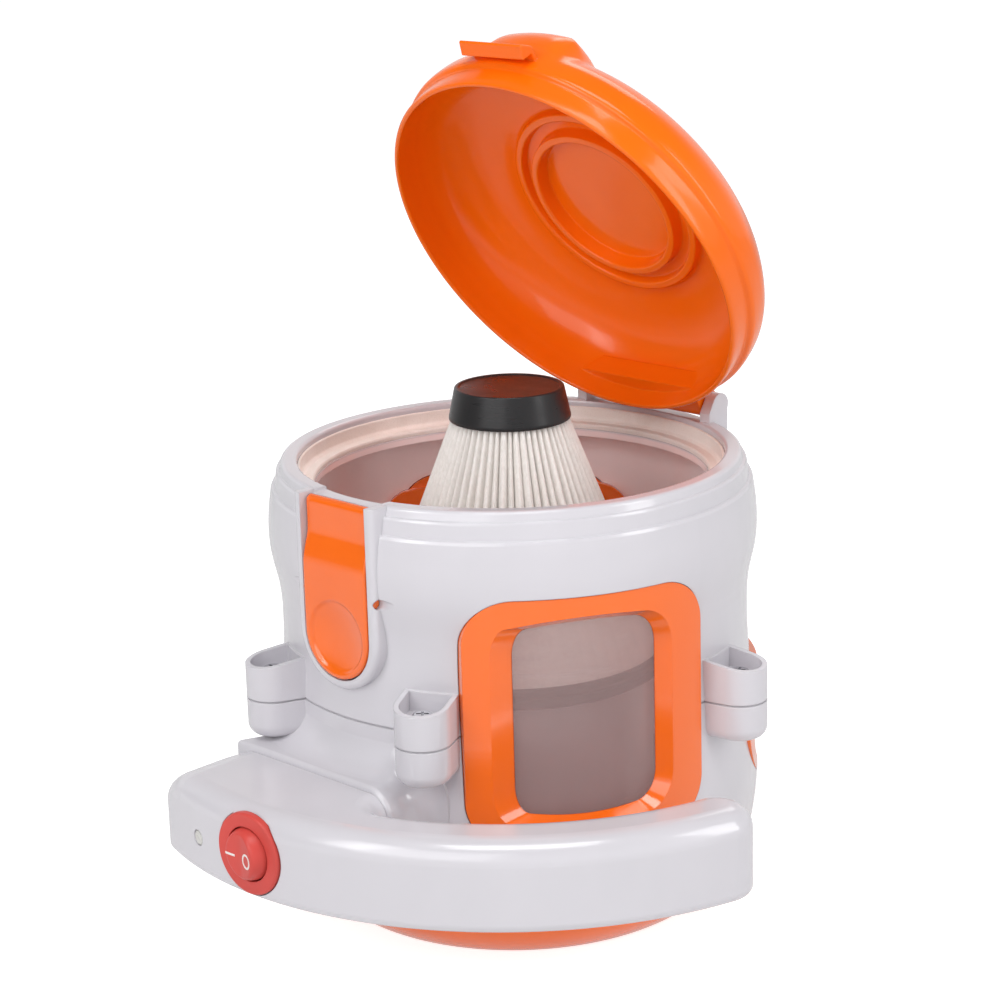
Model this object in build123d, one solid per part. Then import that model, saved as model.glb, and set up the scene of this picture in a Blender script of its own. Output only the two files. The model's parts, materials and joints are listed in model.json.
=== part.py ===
from build123d import *
import math
import os

os.makedirs("parts", exist_ok=True)

# ---------------------------------------------------------------- driving dimensions (mm)
# frame: +Z up, origin at the centre of the flat base on the drum axis,
# latch and switch side at -Y, lid hinge at +Y; azimuth 0 = -Y, +90 = +X
Z_RIM = 132.0            # top of the mouth rim
Z_SPLIT = 69.4           # parting line between the two housings
Z_BASE = 20.0            # top of the base cover
Z_FLOOR = 30.5           # floor of the dust chamber
R_BORE = 65.2            # bore of both housings
R_MOUTH = 61.5           # mouth bore above the seal ledge
R_LEDGE = 56.8           # inner edge of the seal ledge
Z_LEDGE = 124.0          # seal ledge

LATCH_W = 12.4           # half width of the latch
LATCH_C = 93.7           # centre height of its round lower end
BOSS_W = 15.5            # half width of the latch boss
PIVOT_D, PIVOT_Z = 68.7, 105.3

HINGE_Y, HINGE_Z = 63.2, 136.6
PIN_R = 1.5
RUN = 0.05               # running clearance on pins (radial)
LID_OPEN = 59.9          # lid angle as shown, degrees
Z_LIP = 125.8            # lid lip plane when closed

WIN_AZ = (61.0, -134.0)  # window centres
WIN_Z = 73.0
WIN_W, WIN_H, WIN_R = 68.4, 71.0, 13.0
PANE_W, PANE_H, PANE_R = 37.8, 51.0, 7.0

INLET_AZ, INLET_Z, INLET_R, INLET_TOP = 132.0, 56.0, 22.0, 68.3
INLET_BORE, INLET_BORE_Z = 15.0, 51.5

PILLAR_AZ = (-23.5, 24.0, 100.0, 188.0, -96.0)
PILLAR_R = 74.6
PILLAR_W = 7.8
PILLAR_TOP, PILLAR_BOT = 79.7, 58.3

GRIP_RO, GRIP_RI = 109.5, 90.3
GRIP_Z0, GRIP_Z1 = 31.0, 56.0
GRIP_A0, GRIP_A1 = -23.0, 80.7
ROOT_A1 = 14.0           # azimuth where the shoulder starts to round off towards the finger gap
ROOT_X = 27.0            # end of the handle root beside the finger gap
ROOT_Y = -79.5           # joint plane between shoulder and handle
COVER_R = 94.5           # seam radius of the handle's inner cover

SW_AZ, SW_Z = 2.3, 43.7
LED_AZ, LED_Z = -9.6, 41.6
ROCKER_REST = -8.0       # rocker tilt as shown, degrees


# ---------------------------------------------------------------- helpers
def pt(az, r, z=0.0):
    a = math.radians(az)
    return Vector(r * math.sin(a), -r * math.cos(a), z)


def at(az):
    return Rot(0, 0, az)


def prof(*edges):
    return Face(Wire(list(edges)))


def V(r, z):
    return Vector(r, 0, z)


def poly_face(pts):
    return Face(Wire.make_polygon([V(*p) for p in pts], close=True))


def rev(pts, ang=360.0):
    return revolve(poly_face(pts), Axis.Z, ang)


def tube(ro, ri, z0, z1):
    s = Pos(0, 0, (z0 + z1) / 2) * Cylinder(ro, z1 - z0)
    if ri > 0:
        s -= Pos(0, 0, (z0 + z1) / 2) * Cylinder(ri, z1 - z0 + 1)
    return s


def radial_cyl(r, d0, d1, z, az=0.0):
    # cylinder whose axis runs outward at azimuth az, from distance d0 to d1
    c = Pos(0, -(d0 + d1) / 2, z) * Rot(90, 0, 0) * Cylinder(r, d1 - d0)
    return at(az) * c


def xcyl(r, x0, x1, y, z):
    return Pos((x0 + x1) / 2, y, z) * Rot(0, 90, 0) * Cylinder(r, x1 - x0)


def box(x0, x1, y0, y1, z0, z1):
    return Pos((x0 + x1) / 2, (y0 + y1) / 2, (z0 + z1) / 2) * Box(x1 - x0, y1 - y0, z1 - z0)


def front_prism(face2d, d0, d1):
    # 2D sketch (x, z) standing at -Y, extruded from distance d0 to d1
    pl = Plane(origin=(0, -d0, 0), x_dir=(1, 0, 0), z_dir=(0, -1, 0))
    return extrude(pl * face2d, d1 - d0)


def stadium(w, zc, ztop):
    # U shape: half round at the bottom (radius w, centre zc), straight to ztop
    s = Pos(0, zc) * Circle(w)
    s += Pos(0, (zc + ztop) / 2) * Rectangle(2 * w, ztop - zc)
    return s


def side_prism(pts, x0, x1):
    # polygon of (distance towards -Y, z), extruded along X
    f = Face(Wire.make_polygon([Vector(x0, -d, z) for d, z in pts], close=True))
    return extrude(f, x1 - x0, dir=(1, 0, 0))


def solid(s):
    got = s.solids()
    return got[0] if len(got) == 1 else Compound(children=list(got))


NODES = {}


def node(name, shape):
    NODES[name] = shape


def try_fillet(s, edges, r):
    try:
        out = fillet(edges, r)
        if out.is_valid and out.volume > 0:
            return out
    except Exception:
        pass
    print("fillet left out", r)
    return s


# ---------------------------------------------------------------- upper housing
wall = Spline(V(68.4, Z_SPLIT), V(67.9, 77), V(67.7, 86), V(67.85, 92), V(68.55, 97.8), V(69.6, 102.5),
              V(70.4, 107), V(70.65, 112), V(70.25, 118.5), V(69.5, 123.5))
up = prof(
    Line(V(R_BORE, Z_SPLIT), V(68.4, Z_SPLIT)),
    wall,
    Line(V(69.5, 123.5), V(69.1, 124.3)),
    Line(V(69.1, 124.3), V(68.35, 124.5)),
    Line(V(68.35, 124.5), V(67.75, 128.6)),
    Line(V(67.75, 128.6), V(67.4, 129.2)),
    Line(V(67.4, 129.2), V(66.75, 129.35)),
    Line(V(66.75, 129.35), V(66.4, 130.8)),
    ThreePointArc(V(66.4, 130.8), V(65.9, 131.7), V(65.0, Z_RIM)),
    Line(V(65.0, Z_RIM), V(62.5, Z_RIM)),
    ThreePointArc(V(62.5, Z_RIM), V(61.8, 131.7), V(R_MOUTH, 131.0)),
    Line(V(R_MOUTH, 131.0), V(R_MOUTH, Z_LEDGE)),
    Line(V(R_MOUTH, Z_LEDGE), V(R_LEDGE, Z_LEDGE)),
    Line(V(R_LEDGE, Z_LEDGE), V(R_LEDGE, 121.6)),
    Line(V(R_LEDGE, 121.6), V(R_BORE, 121.6)),
    Line(V(R_BORE, 121.6), V(R_BORE, Z_SPLIT)),
)
upper = revolve(up, Axis.Z)
# wall pad behind the latch pocket
upper += box(-15.5, 15.5, -67.0, -58.0, 110.0, 122.6) - Pos(0, 0, 116) * Cylinder(62.3, 20)

# raised boss round the latch
boss = front_prism(stadium(BOSS_W, LATCH_C, Z_RIM), 60.0, 70.4)
boss = try_fillet(boss, boss.faces().sort_by(Axis.Y)[0].edges().sort_by(Axis.Z)[:-1], 1.6)
boss -= Pos(0, 0, 100) * Cylinder(66.2, 90)
upper += boss

# hinge lugs on the rear rim
for sx in (-1, 1):
    xa, xb = sorted((sx * 22.7, sx * 26.3))
    lug = xcyl(3.5, xa, xb, HINGE_Y, HINGE_Z)
    lug += side_prism([(-57.9, 128.5), (-57.9, 134.6), (-60.6, 138.9), (-63.2, 140.1), (-66.5, 136.6), (-66.3, 132.0), (-66.3, 126.0)], xa, xb)
    upper += lug

# screw pillars, upper halves
for az in PILLAR_AZ:
    top = PILLAR_TOP + 3.0
    p = Pos(0, -PILLAR_R, (Z_SPLIT + top) / 2) * Cylinder(PILLAR_W, top - Z_SPLIT)
    p += box(-PILLAR_W, PILLAR_W, -PILLAR_R, -64.0, Z_SPLIT, top)
    # top slopes up towards the drum, screw pocket open against the wall
    p -= side_prism([(60.0, 82.6), (86.0, 78.6), (86.0, 95.0), (60.0, 95.0)], -10.0, 10.0)
    pocket = Pos(0, -PILLAR_R, 80.7) * Cylinder(PILLAR_W - 1.5, 10.0)
    pocket += box(-PILLAR_W + 1.5, PILLAR_W - 1.5, -PILLAR_R, -64.0, 75.7, 85.7)
    pocket -= Pos(0, 0, 80) * Cylinder(68.4, 40)
    p -= pocket
    p -= Pos(0, 0, 75) * Cylinder(66.4, 40)
    upper += at(az) * p

# latch pocket: deep behind the flat top of the latch, shallow below
upper -= front_prism(stadium(LATCH_W + 0.4, LATCH_C, 140.0), 66.9, 80.0)
upper -= box(-LATCH_W - 0.4, LATCH_W + 0.4, -80.0, -65.1, 114.0, 140.0)
upper -= box(-LATCH_W - 0.4, LATCH_W + 0.4, -80.0, -55.0, 130.8, 140.0)
upper -= xcyl(1.4 + RUN, -20.0, 20.0, -PIVOT_D, PIVOT_Z)
# rim relief under the hinge barrel, and the hinge pin bore
upper -= box(-22.7, 22.7, 50.0, 75.0, 131.6, 150.0)
upper -= xcyl(PIN_R, -40, 25.2, HINGE_Y, HINGE_Z)
# clearance holes for the housing screws
for az in PILLAR_AZ:
    upper -= at(az) * (Pos(0, -PILLAR_R, 72) * Cylinder(1.8, 12.0))

# ---------------------------------------------------------------- lower housing
lo = prof(
    Line(V(R_BORE, Z_SPLIT), V(R_BORE, Z_FLOOR)),
    Line(V(R_BORE, Z_FLOOR), V(36.0, Z_FLOOR)),
    Line(V(36.0, Z_FLOOR), V(36.0, 28.0)),
    Line(V(36.0, 28.0), V(R_BORE, 28.0)),
    Line(V(R_BORE, 28.0), V(R_BORE, Z_BASE)),
    Line(V(R_BORE, Z_BASE), V(68.7, Z_BASE)),
    Spline(V(68.7, Z_BASE), V(69.4, 24), V(70.1, 29), V(70.45, 35), V(70.0, 45), V(69.2, 57), V(68.5, 66), V(68.4, Z_SPLIT)),
    Line(V(68.4, Z_SPLIT), V(R_BORE, Z_SPLIT)),
)
lower = revolve(lo, Axis.Z)

# shoulder that carries the handle: concave top, flat joint plane at ROOT_Y
sh = prof(
    Line(V(64.0, 22.0), V(69.5, 22.0)),
    Line(V(69.5, 22.0), V(79.0, 31.0)),
    Line(V(79.0, 31.0), V(100.0, 31.0)),
    Line(V(100.0, 31.0), V(100.0, 57.6)),
    Line(V(100.0, 57.6), V(78.0, 57.6)),
    ThreePointArc(V(78.0, 57.6), V(71.6, 60.1), V(68.3, 66.4)),
    Line(V(68.3, 66.4), V(64.0, 66.4)),
    Line(V(64.0, 66.4), V(64.0, 22.0)),
)
sh_prof = sh
sh = Rot(0, 0, -90 + GRIP_A0) * revolve(sh_prof, Axis.Z, ROOT_A1 - GRIP_A0)
# rounded end towards the finger gap: the section turned about a level radial line, straight below it
END_Z = 49.6
horn = Face(Wire([
    Line(Vector(0, -66.0, END_Z), Vector(0, -90.0, END_Z)),
    Line(Vector(0, -90.0, END_Z), Vector(0, -90.0, 57.6)),
    Line(Vector(0, -90.0, 57.6), Vector(0, -78.0, 57.6)),
    ThreePointArc(Vector(0, -78.0, 57.6), Vector(0, -71.6, 60.1), Vector(0, -68.3, 66.4)),
    Line(Vector(0, -68.3, 66.4), Vector(0, -66.0, 66.4)),
    Line(Vector(0, -66.0, 66.4), Vector(0, -66.0, END_Z)),
]))
end = revolve(horn, Axis((0, 0, END_Z), (0, -1, 0)), 90)
if end.bounding_box().max.X < 1.0:
    end = revolve(horn, Axis((0, 0, END_Z), (0, 1, 0)), 90)
foot = Face(Wire([
    Line(Vector(0, -66.0, END_Z), Vector(0, -90.0, END_Z)),
    Line(Vector(0, -90.0, END_Z), Vector(8.0, -90.0, END_Z)),
    Line(Vector(8.0, -90.0, END_Z), Vector(8.0, -78.0, END_Z)),
    ThreePointArc(Vector(8.0, -78.0, END_Z), Vector(10.5, -71.6, END_Z), Vector(16.8, -68.3, END_Z)),
    Line(Vector(16.8, -68.3, END_Z), Vector(16.8, -66.0, END_Z)),
    Line(Vector(16.8, -66.0, END_Z), Vector(0, -66.0, END_Z)),
]))
end += extrude(foot, END_Z - 20.0, dir=(0, 0, -1))
end = at(ROOT_A1) * end
end &= Rot(0, 0, -90 + ROOT_A1 - 2.0) * revolve(sh_prof, Axis.Z, 30.0)
sh += end
sh &= box(-60, 60, ROOT_Y, -40, 0, 90)
sh = try_fillet(sh, sh.faces().filter_by(Axis.Y).sort_by(Axis.Y)[0].edges().sort_by(Axis.Z)[-1], 1.2)
duct = box(-8.0, 8.0, -79.0, -60.0, 21.5, 40.0)
duct = try_fillet(duct, duct.faces().sort_by(Axis.Y)[0].edges().filter_by(lambda e: e.center().Z < 39), 3.0)
sh += duct
sh -= Pos(0, 0, 40) * Cylinder(66.0, 120)
lower += sh
# wiring hollow inside the shoulder and a lead hole through the wall below the floor
lower -= box(-16, 14, ROOT_Y - 1, -72.5, 34.5, 53.5)
lower -= box(-5.5, 5.5, -77.0, -72.5, 23.4, 53.5)
lower -= radial_cyl(3.0, 60.0, 74.0, 24.6, 0.0)

# screw pillars, lower halves
for az in PILLAR_AZ:
    h = Z_SPLIT - PILLAR_BOT
    p = Pos(0, -PILLAR_R, (Z_SPLIT + PILLAR_BOT) / 2) * Cylinder(PILLAR_W, h)
    p += box(-PILLAR_W, PILLAR_W, -PILLAR_R, -64.0, PILLAR_BOT, Z_SPLIT)
    p = try_fillet(p, p.faces().sort_by(Axis.Z)[0].edges().filter_by(lambda e: e.center().Y < -66), 3.5)
    p -= Pos(0, 0, 60) * Cylinder(66.4, 60)
    lower += at(az) * p
for az in PILLAR_AZ:
    lower -= at(az) * (Pos(0, -PILLAR_R, 64.0) * Cylinder(1.5, 14.0))

# posts for the base screws and the chamber screws
BASE_SCREW_AZ, BASE_SCREW_R = (40.0, 130.0, 220.0, 310.0), 46.0
for az in BASE_SCREW_AZ:
    q = pt(az, BASE_SCREW_R)
    lower += Pos(q.X, q.Y, 18.6) * Cylinder(4.0, 19.2)
    lower -= Pos(q.X, q.Y, 16.0) * Cylinder(1.5, 14.2)
CH_SCREW_AZ = (0.0, 120.0, 240.0)
for az in CH_SCREW_AZ:
    q = pt(az, 46.0)
    lower -= Pos(q.X, q.Y, 29) * Cylinder(1.7, 10)

# ---------------------------------------------------------------- windows
for az in WIN_AZ:
    cut = at(az) * front_prism(Pos(0, WIN_Z) * RectangleRounded(WIN_W + 0.3, WIN_H + 0.3, WIN_R + 0.15), 50, 82)
    upper -= cut
    lower -= cut

shell = tube(70.3, 64.4, 30, 115)
bez = shell & front_prism(Pos(0, WIN_Z) * RectangleRounded(WIN_W, WIN_H, WIN_R), 50, 82)
flange = tube(65.1, 63.4, 30, 115) & front_prism(Pos(0, WIN_Z) * RectangleRounded(76, 64, 8), 40, 82)
bez += flange
s0 = Plane(origin=(0, -62.5, WIN_Z), x_dir=(1, 0, 0), z_dir=(0, -1, 0)) * RectangleRounded(PANE_W, PANE_H, PANE_R)
s1 = Plane(origin=(-9.25, -70.3, WIN_Z), x_dir=(1, 0, 0), z_dir=(0, -1, 0)) * RectangleRounded(79.0, 60.0, 13.0)
funnel = loft([s0, s1])
bez -= funnel
bez -= front_prism(Pos(0, WIN_Z) * RectangleRounded(PANE_W, PANE_H, PANE_R), 40, 70)
seat = tube(66.2, 60.0, 30, 115) & front_prism(Pos(0, WIN_Z) * RectangleRounded(PANE_W + 7, PANE_H + 7, PANE_R + 3), 40, 82)
bez -= seat
pane = tube(66.1, 64.1, 30, 115) & front_prism(
    Pos(0, WIN_Z) * RectangleRounded(PANE_W + 6.8, PANE_H + 6.8, PANE_R + 2.9), 40, 82)
for name, az in zip(("front", "rear"), WIN_AZ):
    node(name + "_window_bezel", at(az) * bez)
    node(name + "_window_pane", at(az) * pane)

# ---------------------------------------------------------------- suction inlet collar
def inlet_outline(grow):
    # round below, flat above just under the parting line
    o = Pos(0, INLET_Z) * Circle(INLET_R + grow / 2)
    o &= Pos(0, INLET_TOP + grow / 2 - 40.0) * Rectangle(100, 80)
    return fillet(o.vertices(), 5.0 + grow / 2)


lower -= at(INLET_AZ) * front_prism(inlet_outline(0.3), 50, 84)
col = front_prism(inlet_outline(0.0), 60, 76) & tube(70.6, 63.4, 20, 100)
col += front_prism(inlet_outline(3.2), 55, 70) & tube(65.1, 63.4, 20, 100)
col += radial_cyl(INLET_BORE + 2.0, 54.0, 66, INLET_BORE_Z)
col -= radial_cyl(INLET_BORE, 50, 80, INLET_BORE_Z)
# two bayonet notches for the nozzle
for sgn in (-1, 1):
    col -= box(sgn * (INLET_BORE + 0.2) - 2.2, sgn * (INLET_BORE + 0.2) + 2.2, -80, -64.5, INLET_BORE_Z - 2.5, INLET_BORE_Z + 2.5)
node("inlet_collar", at(INLET_AZ) * col)

# fine groove along the parting line, round the drum and the pillars
core = Pos(0, 0, Z_SPLIT) * Cylinder(67.95, 2.0)
for az in PILLAR_AZ:
    core += at(az) * (Pos(0, -PILLAR_R, Z_SPLIT) * Cylinder(PILLAR_W - 0.45, 2.0))
    core += at(az) * box(-PILLAR_W + 0.45, PILLAR_W - 0.45, -PILLAR_R, -60.0, Z_SPLIT - 1, Z_SPLIT + 1)
groove = Pos(0, 0, Z_SPLIT) * Cylinder(95.0, 0.5) - core
upper -= groove
lower -= groove

node("upper_housing", upper)

# ---------------------------------------------------------------- handle
def sector(r0, r1, a0, a1):
    m = (a0 + a1) / 2
    if r0 <= 0.001:
        e = [Line(pt(a0, 0.0), pt(a0, r1)), ThreePointArc(pt(a0, r1), pt(m, r1), pt(a1, r1)), Line(pt(a1, r1), pt(a0, 0.0))]
    else:
        e = [Line(pt(a0, r0), pt(a0, r1)), ThreePointArc(pt(a0, r1), pt(m, r1), pt(a1, r1)),
             Line(pt(a1, r1), pt(a1, r0)), ThreePointArc(pt(a1, r0), pt(m, r0), pt(a0, r0))]
    return Sketch() + Face(Wire(e))


def grip_plan(off, back):
    # plan outline of the handle, drawn inwards by off, closed at y = back
    ro, ri = GRIP_RO - off, GRIP_RI + off
    rm, rt = (ro + ri) / 2, (ro - ri) / 2
    a_end = GRIP_A1 - math.degrees((GRIP_RO - GRIP_RI) / 2 / 99.9)
    bar = sector(ri, ro, 8.0, a_end)
    q = pt(a_end, rm)
    bar += Pos(q.X, q.Y) * Circle(rt)
    root = sector(0, ro, GRIP_A0 + math.degrees(off / 95.0), 20.0)
    root &= Pos(0, back - 100) * Rectangle(400, 200)
    root &= Pos(ROOT_X - off - 150, 0) * Rectangle(300, 400)
    return root + bar


plan = grip_plan(0.0, ROOT_Y)
corner = [v for v in plan.vertices() if (v.center() - pt(GRIP_A0, GRIP_RO)).length < 0.5]
plan = fillet(corner, 7.0)
nook = [v for v in plan.vertices() if abs(v.center().X - ROOT_X) < 0.2 and -88 < v.center().Y < -81]
plan = fillet(nook, 4.0)
grip = extrude(Pos(0, 0, GRIP_Z0) * plan, GRIP_Z1 - GRIP_Z0)


def level(e):
    # edges that run along the handle or round its end, not the joint plane and not upright
    free = e.center().Y < ROOT_Y - 0.3 or e.center().X > 43.5
    return free and e.length > 0.3 and abs(e.tangent_at(0.5).Z) < 0.98


# blunt end of the handle rounded over in elevation
end_cut = extrude(Face(Wire([
    ThreePointArc(Vector(-25.0, -60, 56.05), Vector(-37.3, -60, 51.3), Vector(-43.2, -60, 42.0)),
    Line(Vector(-43.2, -60, 42.0), Vector(-43.2, -60, 38.0)),
    ThreePointArc(Vector(-43.2, -60, 38.0), Vector(-41.2, -60, 33.6), Vector(-34.5, -60, 30.95)),
    Line(Vector(-34.5, -60, 30.95), Vector(-70.0, -60, 30.95)),
    Line(Vector(-70.0, -60, 30.95), Vector(-70.0, -60, 70.0)),
    Line(Vector(-70.0, -60, 70.0), Vector(-25.0, -60, 70.0)),
    Line(Vector(-25.0, -60, 70.0), Vector(-25.0, -60, 56.05)),
])), 70.0, dir=(0, -1, 0))
grip -= end_cut
grip = try_fillet(grip, grip.edges().filter_by(level).filter_by(lambda e: e.center().Z > 46), 6.5)
grip = try_fillet(grip, grip.edges().filter_by(level).filter_by(lambda e: e.center().Z < 36), 2.6)
cav = extrude(Pos(0, 0, GRIP_Z0 + 3.0) * grip_plan(3.0, ROOT_Y - 3.0), GRIP_Z1 - GRIP_Z0 - 6.0)
cav -= Pos(3.2, 0, -3.0) * end_cut
cav -= Pos(3.2, 0, 3.0) * end_cut
grip -= cav
# spigot that plugs into the shoulder, open for the leads
grip += box(-15.7, 13.7, ROOT_Y - 3.2, -73.4, 34.8, 53.2)
grip -= box(-13.4, 11.4, ROOT_Y - 8.0, -70.0, 36.8, 51.2)
grip -= box(-6.0, 6.0, -78.4, -70.0, 33.0, 40.0)

cover_zone = extrude(Pos(0, 0, 20) * sector(0, COVER_R, 31.0, 100.0), 50)
cover = grip & cover_zone
shell_h = grip - cover_zone
HANDLE_SCREW_AZ = (42.0, 66.0)
for az in HANDLE_SCREW_AZ:
    shell_h += radial_cyl(3.2, COVER_R, GRIP_RO - 2.0, 44.0, az)
    shell_h -= radial_cyl(1.3, COVER_R - 1, 105.0, 44.0, az)
    cover += radial_cyl(4.6, GRIP_RI + 1.0, COVER_R, 44.0, az)
    cover -= radial_cyl(1.7, GRIP_RI - 2, COVER_R + 1, 44.0, az)
    cover -= radial_cyl(3.2, GRIP_RI - 2, GRIP_RI + 2.2, 44.0, az)
# switch seat, indicator hole, socket hole
shell_h -= radial_cyl(11.8, 107.9, 115, SW_Z, SW_AZ)
shell_h -= radial_cyl(10.0, 86, 115, SW_Z, SW_AZ)
shell_h -= radial_cyl(2.3, 100, 115, LED_Z, LED_AZ)
SOCK_R, SOCK_Z = 97.0, 44.0
shell_h -= at(GRIP_A0) * xcyl(4.65, -5, 8, -SOCK_R, SOCK_Z)
node("handle_shell", shell_h)
node("handle_cover", cover)

# ---------------------------------------------------------------- rocker switch
SW_D = 108.3             # distance of the rocker's pivot from the drum axis
RK_R = 7.4               # rocker ball radius about the pivot
RK_D = 112.0             # distance of the middle of the rocker's face
sw = radial_cyl(11.5, 107.9, 109.9, SW_Z)
sw = try_fillet(sw, sw.faces().sort_by(Axis.Y)[0].edges(), 0.7)
sw += radial_cyl(9.8, 88.5, 107.9, SW_Z)
sw -= radial_cyl(RK_R + 0.3, 94.5, 112, SW_Z)
sw -= Pos(0, -SW_D, SW_Z) * Cylinder(0.9 + RUN, 18.2)
node("switch_body", at(SW_AZ) * sw)

rk = Pos(0, -SW_D, SW_Z) * Sphere(RK_R)
t8 = math.tan(math.radians(8.0))
vee = Face(Wire.make_polygon([Vector(-12, -103.0, SW_Z - 12), Vector(12, -103.0, SW_Z - 12),
                              Vector(12, -(RK_D + 12 * t8), SW_Z - 12), Vector(0, -RK_D, SW_Z - 12),
                              Vector(-12, -(RK_D + 12 * t8), SW_Z - 12)], close=True))
rk &= extrude(vee, 24, dir=(0, 0, 1))
rk += Pos(0, -SW_D, SW_Z) * Cylinder(0.9, 17.8)
rk = rk.rotate(Axis((0, -SW_D, 0), (0, 0, 1)), ROCKER_REST)
node("switch_rocker", at(SW_AZ) * rk)

term = Part()
for sx in (-4.0, 4.0):
    term += box(sx - 0.4, sx + 0.4, -88.4, -81.5, SW_Z - 2.4, SW_Z + 2.4)
node("switch_terminals", at(SW_AZ) * solid(term))

led = radial_cyl(2.25, 104.0, 109.45, LED_Z)
led = try_fillet(led, led.faces().sort_by(Axis.Y)[0].edges(), 0.8)
led += radial_cyl(3.2, 104.0, 106.4, LED_Z)
node("indicator_lens", at(LED_AZ) * led)

so = xcyl(4.6, 0.0, 13.0, -SOCK_R, SOCK_Z) + xcyl(6.2, -1.2, 0.0, -SOCK_R, SOCK_Z)
so -= xcyl(2.75, -3.0, 10.0, -SOCK_R, SOCK_Z)
so += xcyl(1.05, 1.0, 10.5, -SOCK_R, SOCK_Z)
node("dc_socket", at(GRIP_A0) * so)

# ---------------------------------------------------------------- base cover
bc = prof(
    Line(V(0, 0), V(52, 0)),
    Spline(V(52, 0), V(55.6, 1.1), V(60.2, 4.6), V(64.4, 10.0), V(66.6, 16.0), V(67.2, Z_BASE), tangents=[V(1, 0.05), V(0.05, 1)]),
    Line(V(67.2, Z_BASE), V(65.0, Z_BASE)),
    Line(V(65.0, Z_BASE), V(65.0, 23.4)),
    Line(V(65.0, 23.4), V(62.9, 23.4)),
    Line(V(62.9, 23.4), V(62.9, 15.0)),
    Line(V(62.9, 15.0), V(61.4, 11.0)),
    Line(V(61.4, 11.0), V(57.8, 6.4)),
    Line(V(57.8, 6.4), V(53.6, 3.2)),
    Line(V(53.6, 3.2), V(51.0, 2.5)),
    Line(V(51.0, 2.5), V(0, 2.5)),
    Line(V(0, 2.5), V(0, 0)),
)
base = revolve(bc, Axis.Z)
for az in BASE_SCREW_AZ:
    q = pt(az, BASE_SCREW_R)
    base += Pos(q.X, q.Y, 6.0) * Cylinder(4.2, 6.0)
    base -= Pos(q.X, q.Y, 2.4) * Cylinder(3.2, 5.2)
    base -= Pos(q.X, q.Y, 6.0) * Cylinder(1.7, 10.0)
# lead notch in the register lip, exhaust slots in the rear wall
base -= box(-4.0, 4.0, -66.0, -60.0, 20.6, 30.0)
for k in range(11):
    base -= at(145.0 + 7.5 * k) * box(-1.5, 1.5, -75.0, -50.0, 8.0, 16.5)
node("base_cover", base)

# ---------------------------------------------------------------- seal in the mouth
node("rim_gasket", rev([(R_LEDGE + 0.1, Z_LEDGE), (R_MOUTH - 0.05, Z_LEDGE), (R_MOUTH - 0.05, 130.2),
                        (60.9, 129.6), (60.9, 125.5), (57.3, 125.5), (R_LEDGE + 0.1, 125.0)]))

# ---------------------------------------------------------------- lid, drawn shut, then opened
L = Z_LIP
lid = prof(
    Line(V(0, L), V(59.4, L)),
    Line(V(59.4, L), V(60.0, L + 0.6)),
    Line(V(60.0, L + 0.6), V(60.0, L + 7.0)),
    Line(V(60.0, L + 7.0), V(61.4, L + 8.2)),
    Spline(V(61.4, L + 8.2), V(60.9, L + 11.6), V(58.4, L + 18.1), V(54.1, L + 22.8), V(48.2, L + 26.0), V(40.0, L + 28.0),
           V(25.0, L + 28.75), V(0, L + 28.9)),
    Line(V(0, L + 28.9), V(0, L)),
)
lid = revolve(lid, Axis.Z)
visor = front_prism(Pos(0, L + 14.2) * RectangleRounded(33.0, 11.6, 5.7), 46.0, 67.4)
visor = try_fillet(visor, visor.faces().sort_by(Axis.Y)[0].edges(), 5.0)
lid += visor
lid += side_prism([(57.0, 136.7), (62.9, 136.7), (63.3, 133.3), (63.7, 133.1), (67.5, 134.2), (67.7, 134.7),
                   (65.0, 137.7), (64.4, 138.0), (57.0, 138.0)], -12.0, 12.0)
lid += box(-22.2, 22.2, 50.0, HINGE_Y, HINGE_Z - 4.2, HINGE_Z + 3.0)
lid += xcyl(4.2, -22.2, 22.2, HINGE_Y, HINGE_Z)
void = prof(
    Line(V(0, L - 2), V(58.4, L - 2)),
    Line(V(58.4, L - 2), V(58.4, L + 7.0)),
    Spline(V(58.4, L + 7.0), V(58.0, L + 11.0), V(55.7, L + 16.8), V(51.9, L + 20.9), V(46.3, L + 23.8), V(39.0, L + 25.5), V(32.4, L + 25.9)),
    Line(V(32.4, L + 25.9), V(32.0, L + 22.9)),
    Line(V(32.0, L + 22.9), V(29.7, L + 22.9)),
    Line(V(29.7, L + 22.9), V(29.4, L + 25.6)),
    Line(V(29.4, L + 25.6), V(25.5, L + 25.6)),
    Line(V(25.5, L + 25.6), V(25.2, L + 21.6)),
    Line(V(25.2, L + 21.6), V(23.0, L + 21.6)),
    Line(V(23.0, L + 21.6), V(22.6, L + 26.3)),
    Line(V(22.6, L + 26.3), V(0, L + 26.3)),
    Line(V(0, L + 26.3), V(0, L - 2)),
)
lid -= revolve(void, Axis.Z)
lid -= xcyl(PIN_R + RUN, -40, 40, HINGE_Y, HINGE_Z)
lid = lid.rotate(Axis((0, HINGE_Y, HINGE_Z), (-1, 0, 0)), LID_OPEN)
node("lid", lid)
pin = xcyl(PIN_R, -26.0, 25.2, HINGE_Y, HINGE_Z)
node("lid_hinge_pin", pin)

# ---------------------------------------------------------------- latch
la = side_prism([(66.4, 131.2), (67.3, 131.2), (68.2, 130.7), (68.6, 129.6), (68.6, 121.3), (70.8, 112.3), (70.8, 80.0),
                 (68.4, 80.0), (68.4, 111.5), (66.4, 120.0)], -LATCH_W, LATCH_W)
la &= front_prism(stadium(LATCH_W, LATCH_C, 140.0), 60.0, 80.0)
dish_r, dish_h = 10.8, 1.5
ball = (dish_r ** 2 + dish_h ** 2) / (2 * dish_h)
la -= Pos(0, -(70.8 + ball - dish_h), LATCH_C - 0.4) * Sphere(ball)
la += xcyl(1.4, -BOSS_W + 0.9, BOSS_W - 0.9, -PIVOT_D, PIVOT_Z)
node("latch", la)

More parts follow.
